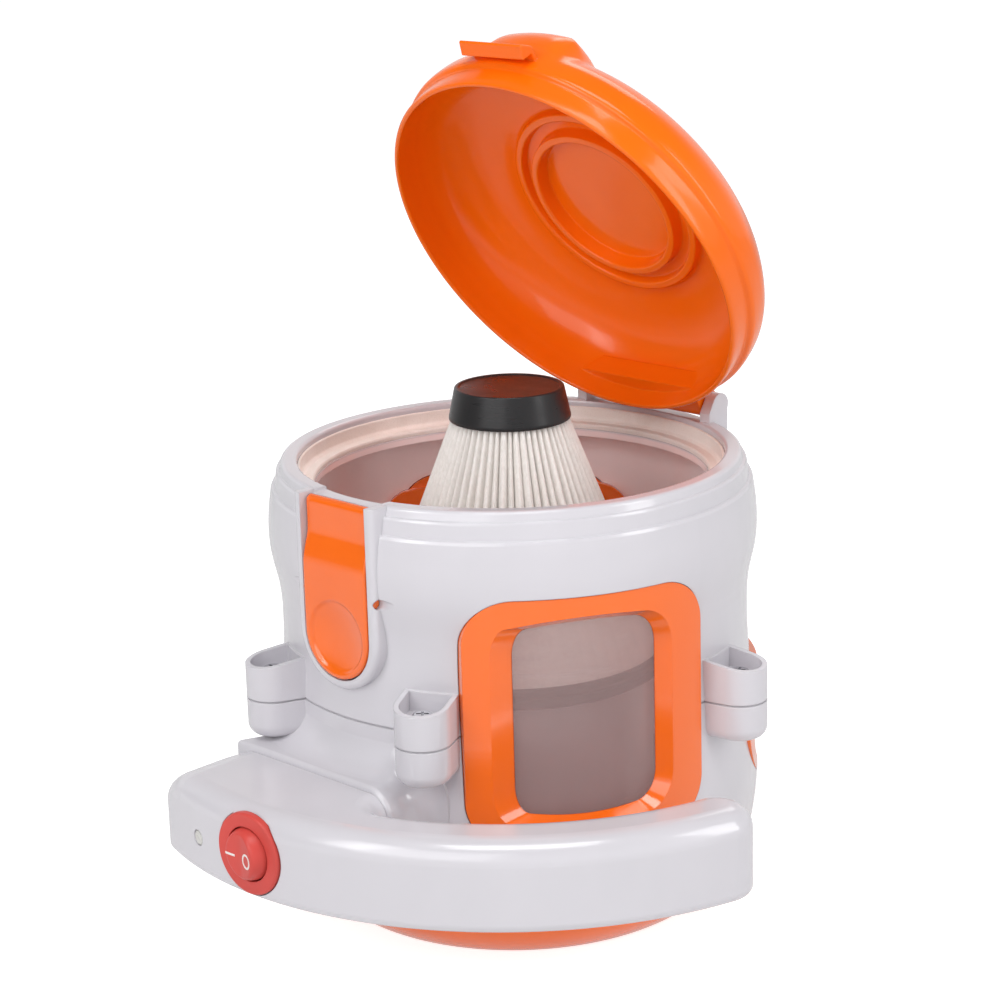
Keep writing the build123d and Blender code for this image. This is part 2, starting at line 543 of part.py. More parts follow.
# ---------------------------------------------------------------- filter
node("filter_cap", rev([(0, 141.3), (17.6, 141.3), (17.5, 142.2), (15.9, 150.0), (15.3, 150.75), (0, 150.75)]))
node("filter_pleats", rev([(17.0, 141.3), (43.2, 74.0), (37.8, 74.0), (11.6, 141.3)]))
node("filter_base_ring", rev([(33.5, 68.0), (44.0, 68.0), (44.3, 68.6), (44.3, 73.2), (43.8, 74.0), (33.5, 74.0)]))
node("filter_seal", rev([(34.0, 67.0), (39.0, 67.0), (39.0, 68.0), (34.0, 68.0)]))

# ---------------------------------------------------------------- motor chamber, fan and motor
ch = rev([(37.5, Z_FLOOR), (50.0, Z_FLOOR), (50.0, 32.8), (40.6, 32.8), (40.0, 34.0), (40.0, 66.4), (39.4, 67.0), (20.0, 67.0), (20.0, 64.6),
          (37.5, 64.6), (37.5, 44.0), (34.5, 44.0), (34.5, 41.5), (37.5, 40.0)])
for k in range(6):
    ch += at(60.0 * k) * box(-0.9, 0.9, -20.5, -5.0, 64.8, 66.8)
ch += tube(6.0, 3.0, 64.8, 66.8)
for az in CH_SCREW_AZ:
    q = pt(az, 46.0)
    ch -= Pos(q.X, q.Y, 31) * Cylinder(1.3, 10)
node("motor_chamber", ch)

mp = tube(37.4, 5.0, 44.0, 46.4)
for k in range(6):
    mp -= at(60.0 * k + 30.0) * box(-8.0, 8.0, -34.5, -22.0, 40, 50)
for sx in (-1, 1):
    mp -= Pos(sx * 11.0, 0, 45) * Cylinder(1.7, 10)
node("motor_mount_plate", mp)

SH_R = 1.6
can = rev([(4.0, 44.0), (17.5, 44.0), (17.5, 12.0), (16.0, 12.0), (16.0, 42.4), (4.0, 42.4)])
for sx in (-1, 1):
    can -= Pos(sx * 11.0, 0, 43) * Cylinder(1.3, 10)
node("motor_can", can)
node("motor_end_cap", rev([(4.0, 9.0), (15.0, 9.0), (17.5, 10.6), (17.5, 12.0), (15.9, 12.0), (15.9, 13.2), (4.0, 13.2)]))
node("motor_bushes", Compound(children=[
    rev([(SH_R + RUN, 41.6), (4.0, 41.6), (4.0, 46.0), (SH_R + RUN, 46.0)]),
    rev([(SH_R + RUN, 9.0), (4.0, 9.0), (4.0, 13.2), (SH_R + RUN, 13.2)])]))
mag = rev([(14.2, 15.0), (15.9, 15.0), (15.9, 38.0), (14.2, 38.0)], 130.0)
node("motor_magnets", Compound(children=[Rot(0, 0, 25) * mag, Rot(0, 0, 205) * mag]))
node("motor_armature", rev([(SH_R, 16.0), (5.0, 16.0), (5.0, 20.0), (13.4, 20.5), (13.4, 37.0), (8.0, 39.0), (SH_R, 39.0)]))
node("motor_shaft", tube(SH_R, 0, 8.0, 57.5))
fan = rev([(SH_R, 47.4), (6.0, 47.4), (6.5, 50.0), (33.0, 50.0), (33.0, 51.4), (8.0, 51.4), (6.0, 56.0), (4.0, 58.0), (SH_R, 58.0)])
for k in range(9):
    bl = Pos(0, -21.5, 56.2) * Rot(0, 0, 28) * Box(1.2, 26.0, 9.9)
    fan += at(40.0 * k) * (bl & tube(32.9, 9.0, 50, 63))
fan += tube(33.0, 19.0, 61.0, 62.2)
node("fan_impeller", fan)


# ---------------------------------------------------------------- fasteners
def screw(head_r, head_h, shank_r, length):
    # head top at z = 0, shank running down
    s = Pos(0, 0, -head_h / 2) * Cylinder(head_r, head_h)
    s = try_fillet(s, s.faces().sort_by(Axis.Z)[-1].edges(), min(0.8, head_h * 0.45))
    s += Pos(0, 0, -head_h - length / 2) * Cylinder(shank_r, length)
    for a in (0, 90):
        s -= Pos(0, 0, 0) * Rot(0, 0, a) * Box(head_r * 1.15, 0.75, 1.7)
    return s


def group(items):
    return Compound(children=[i.solids()[0] for i in items])


hs = screw(3.0, 2.0, 1.5, 17.0)
node("housing_screws", group([Pos(*pt(az, PILLAR_R, 77.7)) * Rot(0, 0, az + 20) * hs for az in PILLAR_AZ]))
bs = screw(2.9, 2.0, 1.5, 12.0)
node("base_screws", group([Pos(*pt(az, BASE_SCREW_R, 3.0)) * Rot(180, 0, az) * bs for az in BASE_SCREW_AZ]))
cs = screw(2.8, 1.8, 1.3, 4.2)
node("chamber_screws", group([Pos(*pt(az, 46.0, 26.2)) * Rot(180, 0, az) * cs for az in CH_SCREW_AZ]))
gs = screw(2.8, 2.0, 1.3, 11.0)
node("handle_screws", group([at(az) * (Pos(0, -(GRIP_RI + 0.2), 44.0) * Rot(-90, 0, 0) * gs) for az in HANDLE_SCREW_AZ]))
ms = screw(2.6, 1.8, 1.3, 5.2)
node("motor_screws", group([Pos(sx * 11.0, 0, 48.2) * ms for sx in (-1, 1)]))


# ---------------------------------------------------------------- leads from the switch to the motor
def wire(points, r, radii):
    path = FilletPolyline(*[Vector(*p) for p in points], radius=radii)
    d = Vector(*points[1]) - Vector(*points[0])
    pl = Plane(origin=points[0], z_dir=d)
    return sweep(pl * Circle(r), path=path)


leads = []
for sx in (-3.0, 3.0):
    leads.append(wire([(sx, -81.0, SW_Z), (sx, -75.0, SW_Z), (sx * 0.5, -74.8, 24.6), (sx * 0.5, -30.0, 24.6), (sx, -22.0, 18.0), (sx * 2, -19.0, 10.0)],
                      0.9, [3.0, 3.0, 6.0, 5.0]))
node("motor_leads", group(leads))

node("lower_housing", lower)

for n, s in NODES.items():
    print(f"{n:22s} {len(s.solids())} {s.volume:10.1f} {s.is_valid}")
    export_step(s if not isinstance(s, ShapeList) else Compound(children=list(s)), "parts/" + n + ".step")
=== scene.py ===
import bpy
import json
import math
import random
from mathutils import Matrix, Vector


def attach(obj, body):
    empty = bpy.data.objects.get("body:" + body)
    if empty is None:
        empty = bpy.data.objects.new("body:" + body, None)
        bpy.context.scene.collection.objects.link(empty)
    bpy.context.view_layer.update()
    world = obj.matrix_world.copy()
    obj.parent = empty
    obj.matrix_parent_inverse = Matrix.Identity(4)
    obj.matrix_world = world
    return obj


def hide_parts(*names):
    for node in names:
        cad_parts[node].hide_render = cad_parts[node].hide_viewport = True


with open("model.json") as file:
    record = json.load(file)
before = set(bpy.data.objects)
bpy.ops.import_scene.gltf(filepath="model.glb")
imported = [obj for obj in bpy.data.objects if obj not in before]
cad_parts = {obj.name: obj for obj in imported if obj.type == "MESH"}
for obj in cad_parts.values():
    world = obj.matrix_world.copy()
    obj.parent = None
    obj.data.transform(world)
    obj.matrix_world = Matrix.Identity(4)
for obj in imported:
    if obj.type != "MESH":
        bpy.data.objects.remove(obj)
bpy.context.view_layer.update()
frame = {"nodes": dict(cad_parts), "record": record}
NODES = frame["nodes"]
scene = bpy.context.scene
MM = 0.001
rng = random.Random(7)

# ------------------------------------------------------------------ shared dimensions (mm), as in the construction
Z_RIM = 132.0
HINGE_Y, HINGE_Z = 63.2, 136.6
LID_OPEN = 59.9
L = 125.8                      # lip plane of the closed lid
SW_AZ, SW_Z = 2.3, 43.7
SW_D = 108.3                   # rocker pivot
ROCKER_REST = -8.0
LATCH_W, LATCH_C = 12.4, 93.7


# ------------------------------------------------------------------ node helpers
class Tree:
    def __init__(self, name):
        self.m = bpy.data.materials.new(name)
        self.m.use_nodes = True
        self.t = self.m.node_tree
        for n in list(self.t.nodes):
            self.t.nodes.remove(n)
        self.out = self.t.nodes.new("ShaderNodeOutputMaterial")
        self.p = self.t.nodes.new("ShaderNodeBsdfPrincipled")
        self.t.links.new(self.p.outputs["BSDF"], self.out.inputs["Surface"])
        self.tc = self.t.nodes.new("ShaderNodeTexCoord")

    def set(self, **kw):
        for k, v in kw.items():
            self.p.inputs[k.replace("_", " ")].default_value = v

    def link(self, a, b):
        self.t.links.new(a, b)

    def coords(self, scale=(1, 1, 1), rot=(0, 0, 0)):
        mp = self.t.nodes.new("ShaderNodeMapping")
        mp.inputs["Scale"].default_value = scale
        mp.inputs["Rotation"].default_value = rot
        self.link(self.tc.outputs["Object"], mp.inputs["Vector"])
        return mp.outputs["Vector"]

    def noise(self, scale, detail=3.0, rough=0.55, vec=None, dist=0.0):
        n = self.t.nodes.new("ShaderNodeTexNoise")
        n.inputs["Scale"].default_value = scale
        n.inputs["Detail"].default_value = detail
        n.inputs["Roughness"].default_value = rough
        n.inputs["Distortion"].default_value = dist
        self.link(vec if vec is not None else self.tc.outputs["Object"], n.inputs["Vector"])
        return n.outputs["Fac"]

    def voronoi(self, scale, vec=None, feature="F1"):
        n = self.t.nodes.new("ShaderNodeTexVoronoi")
        n.feature = feature
        n.inputs["Scale"].default_value = scale
        self.link(vec if vec is not None else self.tc.outputs["Object"], n.inputs["Vector"])
        return n.outputs["Distance"]

    def ramp(self, src, a0, a1, b0, b1):
        n = self.t.nodes.new("ShaderNodeMapRange")
        n.clamp = True
        n.inputs["From Min"].default_value = a0
        n.inputs["From Max"].default_value = a1
        n.inputs["To Min"].default_value = b0
        n.inputs["To Max"].default_value = b1
        self.link(src, n.inputs["Value"])
        return n.outputs["Result"]

    def math(self, op, a, b):
        n = self.t.nodes.new("ShaderNodeMath")
        n.operation = op
        for i, v in enumerate((a, b)):
            if isinstance(v, (int, float)):
                n.inputs[i].default_value = v
            else:
                self.link(v, n.inputs[i])
        return n.outputs[0]

    def mix(self, fac, a, b):
        n = self.t.nodes.new("ShaderNodeMix")
        n.data_type = "RGBA"
        self.link(fac, n.inputs[0])
        for i, v in ((6, a), (7, b)):
            if isinstance(v, tuple):
                n.inputs[i].default_value = (*v, 1.0)
            else:
                self.link(v, n.inputs[i])
        return n.outputs[2]

    def bump(self, height, strength, distance, below=None):
        n = self.t.nodes.new("ShaderNodeBump")
        n.inputs["Strength"].default_value = strength
        n.inputs["Distance"].default_value = distance
        self.link(height, n.inputs["Height"])
        if below is not None:
            self.link(below, n.inputs["Normal"])
        return n.outputs["Normal"]

    def soft_edges(self, radius):
        n = self.t.nodes.new("ShaderNodeBevel")
        n.samples = 6
        n.inputs["Radius"].default_value = radius
        return n.outputs["Normal"]

    def colour(self, s):
        self.link(s, self.p.inputs["Base Color"])

    def rough(self, s):
        self.link(s, self.p.inputs["Roughness"])

    def normal(self, s):
        self.link(s, self.p.inputs["Normal"])


def shade(c, k):
    return tuple(min(1.0, x * k) for x in c)


def moulded(name, base, tint, r0, r1, speck=(0.25, 0.22, 0.2), speck_amount=0.5, peel=0.03, coat=0.0, sss=0.0, edge=0.0005, spec=0.5, inside=None):
    """Injection-moulded plastic: soft colour drift, flow haze, orange peel, fine rub marks, a few specks of dust. With
    an inside colour, the drum's bore also gets painted pink bounce light.
    """
    t = Tree(name)
    drift = t.ramp(t.noise(16.0, 3.0, 0.5, dist=0.4), 0.35, 0.65, 0.0, 1.0)
    flow = t.ramp(t.noise(60.0, 2.0, 0.5, vec=t.coords((1, 1, 0.25))), 0.4, 0.7, 0.0, 0.45)
    c = t.mix(drift, base, tint)
    c = t.mix(flow, c, shade(base, 1.03))
    if speck_amount:
        spots = t.ramp(t.voronoi(210.0), 0.02, 0.07, 1.0, 0.0)
        gate = t.ramp(t.noise(45.0, 1.0), 0.58, 0.66, 0.0, speck_amount)
        c = t.mix(t.math("MULTIPLY", spots, gate), c, speck)
    if inside:
        # painted light: the drum's bore below the seal ledge is coloured brighter and pinker in mottled patches,
        # standing in for orange light bounced from the lid
        ln = t.t.nodes.new("ShaderNodeVectorMath")
        ln.operation = "LENGTH"
        t.link(t.coords((1, 1, 0)), ln.inputs[0])
        bore = t.ramp(ln.outputs["Value"], 0.0655, 0.0662, 1.0, 0.0)
        sep = t.t.nodes.new("ShaderNodeSeparateXYZ")
        t.link(t.tc.outputs["Object"], sep.inputs[0])
        low = t.ramp(sep.outputs["Z"], 0.1232, 0.1242, 1.0, 0.0)
        bounce_mottle = t.ramp(t.noise(28.0, 4.0, 0.6), 0.35, 0.7, 0.82, 1.0)
        c = t.mix(t.math("MULTIPLY", t.math("MULTIPLY", bore, low), bounce_mottle), c, inside)
    t.colour(c)
    haze = t.noise(38.0, 4.0, 0.6)
    rub = t.noise(240.0, 3.0, 0.65, vec=t.coords((1, 0.12, 0.9), (0.3, 0.5, 0.7)))
    t.rough(t.ramp(t.math("ADD", t.math("MULTIPLY", haze, 0.65), t.math("MULTIPLY", rub, 0.35)), 0.36, 0.66, r0, r1))
    n = t.bump(t.noise(520.0, 2.0, 0.5), peel, 0.0006, t.soft_edges(edge))
    n = t.bump(t.noise(2600.0, 2.0, 0.6), peel * 0.8, 0.0001, n)
    t.normal(n)
    t.set(IOR=1.53, Specular_IOR_Level=spec)
    if coat:
        t.set(Coat_Weight=coat, Coat_Roughness=0.05)
    if sss:
        t.set(Subsurface_Weight=sss, Subsurface_Radius=(0.0016, 0.0011, 0.001), Subsurface_Scale=1.0)
    return t.m


# the inside colour is painted light: pink bounce light on the drum's inner wall, brighter than the white plastic
WHITE = moulded("white_abs", (0.635, 0.617, 0.655), (0.620, 0.606, 0.642), 0.16, 0.24, speck_amount=0.0, coat=0.40, peel=0.018, inside=(1.06, 0.875, 0.86))
ORANGE_LID = moulded("orange_lid_abs", (0.95, 0.160, 0.003), (0.93, 0.147, 0.002), 0.15, 0.24, speck_amount=0.0, coat=0.16, spec=0.26, peel=0.018)
ORANGE = moulded("orange_abs", (0.94, 0.154, 0.004), (0.92, 0.141, 0.003), 0.13, 0.21, speck_amount=0.0, coat=0.85, spec=0.40, peel=0.018)
RED = moulded("red_nylon", (0.68, 0.076, 0.062), (0.51, 0.060, 0.050), 0.34, 0.48, speck_amount=0.0, peel=0.06, edge=0.0002, spec=0.3)
GREY = moulded("grey_abs", (0.42, 0.41, 0.42), (0.38, 0.37, 0.38), 0.30, 0.45, peel=0.05)
BLACK_MATT = moulded("black_matt", (0.030, 0.030, 0.032), (0.022, 0.022, 0.024), 0.34, 0.52, speck=(0.2, 0.19, 0.18), speck_amount=0.6, peel=0.06)


def black_cap():
    """Semi-gloss black moulding with fine turned streaks round its flank and dust on top."""
    t = Tree("black_abs")
    c = t.mix(t.ramp(t.noise(30.0, 3.0), 0.35, 0.65, 0.0, 1.0), (0.017, 0.017, 0.018), (0.026, 0.025, 0.026))
    spots = t.ramp(t.voronoi(260.0), 0.03, 0.06, 1.0, 0.0)
    gate = t.ramp(t.noise(70.0, 1.0), 0.60, 0.63, 0.0, 0.7)
    t.colour(t.mix(t.math("MULTIPLY", spots, gate), c, (0.45, 0.42, 0.40)))
    streak = t.noise(900.0, 3.0, 0.6, vec=t.coords((0.12, 0.12, 1.0)))
    t.rough(t.ramp(t.math("ADD", t.math("MULTIPLY", t.noise(60.0, 3.0), 0.6), t.math("MULTIPLY", streak, 0.4)), 0.36, 0.64, 0.24, 0.40))
    t.normal(t.bump(streak, 0.05, 0.0002))
    t.set(IOR=1.5, Specular_IOR_Level=0.3)
    return t.m


def cream_seal():
    """Foam-rubber seal: cream, matt, faint pores and handling marks."""
    t = Tree("cream_rubber")
    stain = t.ramp(t.noise(55.0, 4.0, 0.6, dist=0.6), 0.40, 0.68, 0.0, 1.0)
    c = t.mix(stain, (0.90, 0.835, 0.785), (0.82, 0.745, 0.685))
    pores = t.ramp(t.voronoi(2400.0), 0.05, 0.28, 0.55, 0.0)
    t.colour(t.mix(pores, c, (0.60, 0.52, 0.46)))
    t.rough(t.ramp(t.noise(400.0, 3.0), 0.35, 0.65, 0.55, 0.75))
    n = t.bump(t.noise(1500.0, 3.0, 0.6), 0.16, 0.0003)
    t.normal(t.bump(t.voronoi(2400.0), 0.10, 0.0002, n))
    t.set(IOR=1.45)
    return t.m


def filter_cloth():
    """Pressed non-woven filter paper: fibres, faint grey dust in patches."""
    t = Tree("pleat_fabric")
    fibre = t.noise(1500.0, 5.0, 0.7, vec=t.coords((1, 1, 0.35), (0.2, 0.1, 0.0)))
    c = t.mix(t.ramp(fibre, 0.35, 0.65, 0.0, 1.0), (0.84, 0.815, 0.785), (0.75, 0.72, 0.685))
    dust = t.ramp(t.noise(60.0, 4.0, 0.6, dist=0.5), 0.52, 0.75, 0.0, 0.35)
    t.colour(t.mix(dust, c, (0.70, 0.65, 0.60)))
    t.rough(t.ramp(fibre, 0.3, 0.7, 0.72, 0.92))
    n = t.bump(fibre, 0.30, 0.0003)
    n = t.bump(t.noise(160.0, 2.0), 0.25, 0.0006, n)
    t.normal(n)
    t.set(IOR=1.4, Sheen_Weight=0.12, Sheen_Roughness=0.5)
    return t.m


def smoky():
    """Tinted clear window: smoky brown-grey, slightly milky, fine scuffs and dust. Its pale pinkish base is partly the
    smoky tint and partly painted light.
    """
    t = Tree("smoky_clear")
    # pale pinkish base: partly the smoky tint, partly painted light standing in for the lit pink inner wall seen
    # through the pane
    c = t.mix(t.ramp(t.noise(24.0, 3.0), 0.35, 0.65, 0.0, 1.0), (0.570, 0.400, 0.390), (0.520, 0.360, 0.352))
    spots = t.ramp(t.voronoi(330.0), 0.03, 0.07, 1.0, 0.0)
    gate = t.ramp(t.noise(80.0, 1.0), 0.60, 0.63, 0.0, 0.9)
    dust = t.math("MULTIPLY", spots, gate)
    c = t.mix(dust, c, (0.7, 0.66, 0.64))
    scuff = t.ramp(t.noise(260.0, 3.0, 0.7, vec=t.coords((0.06, 0.06, 1.0), (0.1, 0.15, 0.3))), 0.66, 0.74, 0.0, 0.35)
    t.colour(t.mix(scuff, c, (0.56, 0.46, 0.45)))
    veil = t.ramp(t.noise(30.0, 3.0), 0.3, 0.7, 0.27, 0.33)
    t.link(t.math("ADD", veil, t.math("MULTIPLY", t.math("ADD", dust, scuff), 0.25)), t.p.inputs["Alpha"])
    t.rough(t.ramp(t.noise(120.0, 3.0), 0.35, 0.65, 0.05, 0.14))
    t.normal(t.bump(t.noise(300.0, 2.0), 0.02, 0.0004))
    t.set(IOR=1.49)
    return t.m


def lens_mat():
    """Milky indicator lens."""
    t = Tree("lens")
    t.colour(t.mix(t.ramp(t.noise(300.0, 2.0), 0.35, 0.65, 0.0, 1.0), (0.60, 0.59, 0.56), (0.68, 0.67, 0.64)))
    t.rough(t.ramp(t.noise(200.0, 2.0), 0.3, 0.7, 0.18, 0.30))
    t.normal(t.bump(t.noise(900.0, 2.0), 0.05, 0.0002))
    t.set(IOR=1.5)
    return t.m


def metal(name, a, b, r0, r1, grain=(1, 1, 0.08)):
    t = Tree(name)
    brush = t.noise(2400.0, 3.0, 0.6, vec=t.coords(grain))
    t.colour(t.mix(t.ramp(t.noise(140.0, 3.0), 0.35, 0.65, 0.0, 1.0), a, b))
    t.rough(t.ramp(brush, 0.3, 0.7, r0, r1))
    t.normal(t.bump(brush, 0.06, 0.0001))
    t.set(Metallic=1.0)
    return t.m


def rubber(name, a, b):
    t = Tree(name)
    t.colour(t.mix(t.ramp(t.noise(120.0, 4.0), 0.35, 0.65, 0.0, 1.0), a, b))
    t.rough(t.ramp(t.noise(500.0, 3.0), 0.3, 0.7, 0.55, 0.8))
    t.normal(t.bump(t.noise(1800.0, 3.0), 0.15, 0.0002))
    return t.m


def ink():
    """White filled mark, slightly worn."""
    t = Tree("mark_white")
    t.colour(t.mix(t.ramp(t.noise(900.0, 3.0), 0.4, 0.7, 0.0, 0.6), (0.86, 0.83, 0.80), (0.80, 0.62, 0.58)))
    t.rough(t.ramp(t.noise(700.0, 2.0), 0.3, 0.7, 0.4, 0.6))
    return t.m


BLACK = black_cap()
CREAM = cream_seal()
CLOTH = filter_cloth()
SMOKY = smoky()
LENS = lens_mat()
CHROME = metal("chrome", (0.72, 0.72, 0.74), (0.60, 0.60, 0.62), 0.10, 0.25, (1, 1, 1))
STEEL = metal("steel", (0.52, 0.52, 0.53), (0.44, 0.44, 0.45), 0.22, 0.42)
MAGNET = metal("magnet", (0.10, 0.10, 0.11), (0.07, 0.07, 0.08), 0.45, 0.65)
COPPER = metal("copper", (0.70, 0.30, 0.14), (0.60, 0.22, 0.09), 0.22, 0.40, (1, 1, 0.3))
BRASS = metal("brass", (0.72, 0.52, 0.20), (0.62, 0.42, 0.14), 0.20, 0.38)
RUBBER = rubber("black_rubber", (0.030, 0.030, 0.030), (0.045, 0.044, 0.043))
PVC = rubber("wire_pvc", (0.045, 0.045, 0.047), (0.06, 0.06, 0.062))
INK = ink()

BY_SLOT = {
    "white_abs": WHITE, "orange_abs": ORANGE, "cream_rubber": CREAM, "smoky_clear": SMOKY, "black_abs": BLACK,
    "black_matt": BLACK_MATT, "grey_abs": GREY, "pleat_fabric": CLOTH, "black_rubber": RUBBER, "red_nylon": RED,
    "lens": LENS, "chrome": CHROME, "steel": STEEL, "magnet": MAGNET, "copper": COPPER, "brass": BRASS, "wire_pvc": PVC,
}
for sub in frame["record"]["subparts"]:
    o = NODES[sub["node"]]
    if not o.material_slots:
        o.data.materials.append(None)
    for s in o.material_slots:
        s.material = BY_SLOT[sub["material_slot"]]


# ------------------------------------------------------------------ mesh helpers (mm in, metres out)
def rowpt(az, r, z):
    a = math.radians(az)
    return Vector((r * math.sin(a), -r * math.cos(a), z))


def make(name, verts, faces, mat, body, slot, replaces=(), sharp=38.0, weighted=True):
    me = bpy.data.meshes.new(name)
    me.from_pydata([tuple(c * MM for c in v) for v in verts], [], faces)
    me.validate()
    me.update()
    import bmesh
    bm = bmesh.new()
    bm.from_mesh(me)
    bmesh.ops.remove_doubles(bm, verts=bm.verts, dist=1e-7)
    bmesh.ops.recalc_face_normals(bm, faces=bm.faces)
    bm.to_mesh(me)
    bm.free()
    for p in me.polygons:
        p.use_smooth = True
    me.set_sharp_from_angle(angle=math.radians(sharp))
    me.materials.append(mat)
    o = bpy.data.objects.new(name, me)
    scene.collection.objects.link(o)
    if weighted:
        w = o.modifiers.new("weighted", "WEIGHTED_NORMAL")
        w.keep_sharp = True
        w.weight = 60
    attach(o, body)
    if replaces:
        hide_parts(*replaces)
    return o


def rounded(pts, n=6):
    """Closed polygon of (a, b, radius): each corner becomes an arc of its radius."""
    out = []
    k = len(pts)
    for i in range(k):
        p0, p1, p2 = (Vector(pts[(i + j) % k][:2]) for j in (-1, 0, 1))
        r = pts[i][2] if len(pts[i]) > 2 else 0.0
        d0, d1 = (p0 - p1), (p2 - p1)
        if r <= 0 or d0.length < 1e-9 or d1.length < 1e-9:
            out.append((p1.x, p1.y))
            continue
        d0, d1n = d0.normalized(), d1.normalized()
        ang = d0.angle(d1n)
        if ang > math.pi - 1e-3:
            out.append((p1.x, p1.y))
            continue
        t = r / math.tan(ang / 2)
        lim = 0.49 * min((p0 - p1).length, d1.length)
        if t > lim:
            t = lim
            r = t * math.tan(ang / 2)
        c = p1 + (d0 + d1n).normalized() * (r / math.sin(ang / 2))
        a0 = p1 + d0 * t - c
        a1 = p1 + d1n * t - c
        s0, s1 = math.atan2(a0.y, a0.x), math.atan2(a1.y, a1.x)
        ds = (s1 - s0 + math.pi) % (2 * math.pi) - math.pi
        for j in range(n + 1):
            s = s0 + ds * j / n
            out.append((c.x + r * math.cos(s), c.y + r * math.sin(s)))
    return out


def lathe(profile, seg, disp=None):
    """Closed (r, z) profile turned about Z. Points on the axis become poles."""
    verts, rows = [], []
    for (r, z) in profile:
        if r < 1e-6:
            rows.append([len(verts)])
            verts.append(Vector((0, 0, z)))
        else:
            row = []
            for j in range(seg):
                a = 2 * math.pi * j / seg
                row.append(len(verts))
                p = Vector((r * math.cos(a), r * math.sin(a), z))
                verts.append(disp(p) if disp else p)
            rows.append(row)
    faces = []
    m = len(rows)
    for i in range(m):
        a, b = rows[i], rows[(i + 1) % m]
        if len(a) == 1 and len(b) == 1:
            continue
        for j in range(seg):
            k = (j + 1) % seg
            if len(a) == 1:
                faces.append((a[0], b[j], b[k]))
            elif len(b) == 1:
                faces.append((a[j], a[k], b[0]))
            else:
                faces.append((a[j], a[k], b[k], b[j]))
    return verts, faces


def spline(pts, n):
    """Catmull-Rom through (a, b) points, n steps a span."""
    P = [Vector(p) for p in pts]
    P = [2 * P[0] - P[1]] + P + [2 * P[-1] - P[-2]]
    out = []
    for i in range(1, len(P) - 2):
        for j in range(n):
            t = j / n
            a, b, c, d = P[i - 1], P[i], P[i + 1], P[i + 2]
            q = 0.5 * ((2 * b) + (c - a) * t + (2 * a - 5 * b + 4 * c - d) * t * t + (3 * b - a - 3 * c + d) * t ** 3)
            out.append((q.x, q.y))
    out.append((P[-2].x, P[-2].y))
    return out


LID_M = Matrix.Translation((0, HINGE_Y, HINGE_Z)) @ Matrix.Rotation(math.radians(-LID_OPEN), 4, "X") @ Matrix.Translation((0, -HINGE_Y, -HINGE_Z))


def smooth01(t):
    t = max(0.0, min(1.0, t))
    return t * t * t * (t * (6 * t - 15) + 10)


# ------------------------------------------------------------------ lid: bowl with plug lip, lift blister, rings inside
def lid_profile():
    outer = [(59.0, L + 0.0), (59.6, L + 0.15), (60.0, L + 0.7), (60.0, L + 3.0), (60.0, L + 6.4), (60.25, L + 6.95), (60.9, L + 7.25), (61.35, L + 7.8), (61.5, L + 8.6)]
    outer += spline([(61.5, L + 8.6), (61.35, L + 11.0), (60.6, L + 14.6), (58.5, L + 18.2), (54.2, L + 22.8), (48.2, L + 26.0),
                     (40.0, L + 27.95), (31.0, L + 28.6), (20.0, L + 28.82), (8.0, L + 28.88)], 6)[1:]
    outer.append((0.0, L + 28.9))
    inner = [(0.0, L + 26.4), (12.0, L + 26.4), (21.4, L + 26.3), (22.3, L + 26.1), (22.65, L + 25.4), (22.9, L + 22.2), (23.1, L + 21.75), (23.5, L + 21.6),
             (24.8, L + 21.6), (25.2, L + 21.75), (25.35, L + 22.2), (25.6, L + 25.0), (26.0, L + 25.6), (28.9, L + 25.6), (29.35, L + 25.2),
             (29.6, L + 23.4), (29.8, L + 23.0), (30.2, L + 22.9), (31.5, L + 22.9), (31.9, L + 23.0), (32.1, L + 23.4), (32.35, L + 25.3), (32.9, L + 25.85)]
    inner += spline([(32.9, L + 25.85), (39.0, L + 25.5), (46.3, L + 23.8), (51.9, L + 20.9), (55.7, L + 16.8), (57.7, L + 11.6), (58.3, L + 7.0)], 6)[1:]
    inner += [(58.4, L + 5.0), (58.4, L + 0.7), (58.55, L + 0.2)]
    return outer + inner, len(outer)


VISOR = [(10.2, 0.0, 0.0), (11.0, 0.15, 0.9), (14.6, 0.4, 2.4), (18.2, 1.7, 4.2), (22.8, 3.4, 4.5), (26.0, 3.6, 2.9), (27.95, 1.9, 0.95), (28.7, 0.0, 0.0)]


def lid_blister(p):
    """Lift visor on the free side: the rounded shoulder of the bowl is filled out to a blunt peak."""
    r = math.hypot(p.x, p.y)
    h = p.z - L
    if p.y > -20 or h <= VISOR[0][0] or h >= VISOR[-1][0]:
        return p
    f = 1.0 - smooth01((abs(p.x) - 9.5) / 9.5)
    if f <= 0:
        return p
    for (h0, r0, z0), (h1, r1, z1) in zip(VISOR, VISOR[1:]):
        if h0 <= h <= h1:
            t = (h - h0) / (h1 - h0)
            dr, dz = r0 + (r1 - r0) * t, z0 + (z1 - z0) * t
    k = (r + dr * f) / r
    return Vector((p.x * k, p.y * k, p.z + dz * f))


prof_pts, n_outer = lid_profile()


